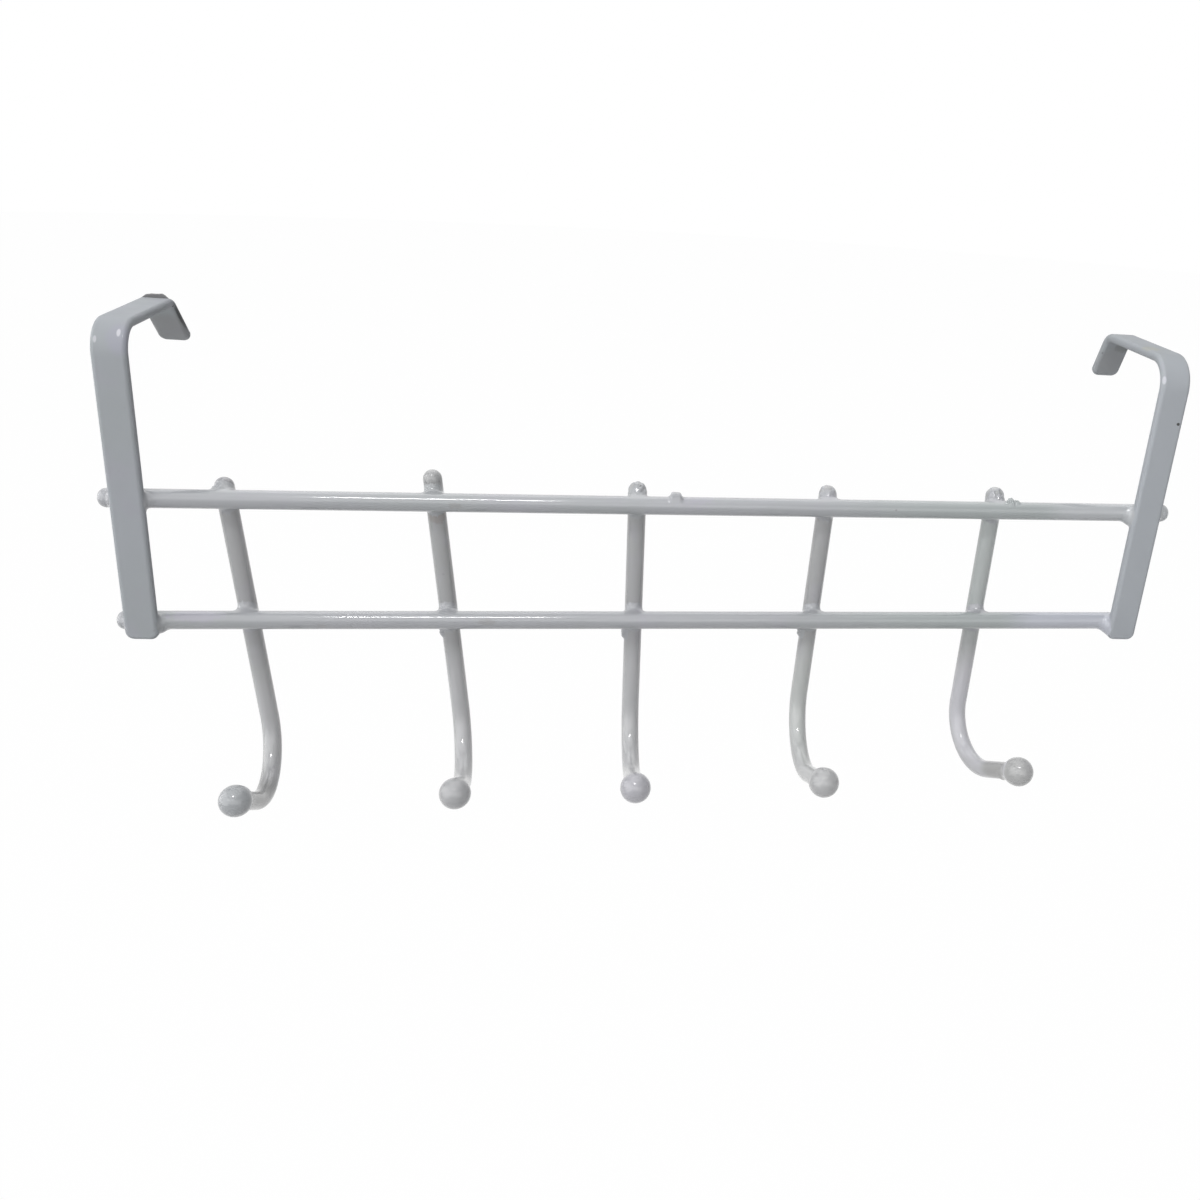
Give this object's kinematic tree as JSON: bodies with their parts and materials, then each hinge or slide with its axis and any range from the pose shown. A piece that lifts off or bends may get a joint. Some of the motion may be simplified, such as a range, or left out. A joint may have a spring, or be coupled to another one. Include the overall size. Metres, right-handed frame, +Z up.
{
  "type": "over-door hook rack",
  "caption": "Over-door hook rack: flat brackets bent over the door's top carry horizontal wire rails and a row of ball-ended J-shaped wire hooks, welded and coated glossy white.",
  "frame": {"origin": "middle of the door's front top edge: the hook wires lie against the door's face at Y = 0 and the brackets sit on its top at Z = 0", "axes": "+X along the rails towards the right, seen from the front; +Y through the door, away from the hooks; +Z up"},
  "size_m": [0.4, 0.1179, 0.1778],
  "materials": {
    "white_coating": "gloss"
  },
  "bodies": {
    "root": {"top_rail": "white_coating", "bottom_rail": "white_coating", "left_bracket": "white_coating", "left_bracket_welds": "white_coating", "right_bracket": "white_coating", "right_bracket_welds": "white_coating", "hook_wire_1": "white_coating", "hook_ball_1": "white_coating", "hook_1_welds": "white_coating", "hook_wire_2": "white_coating", "hook_ball_2": "white_coating", "hook_2_welds": "white_coating", "hook_wire_3": "white_coating", "hook_ball_3": "white_coating", "hook_3_welds": "white_coating", "hook_wire_4": "white_coating", "hook_ball_4": "white_coating", "hook_4_welds": "white_coating", "hook_wire_5": "white_coating", "hook_ball_5": "white_coating", "hook_5_welds": "white_coating"}
  },
  "joints": []
}
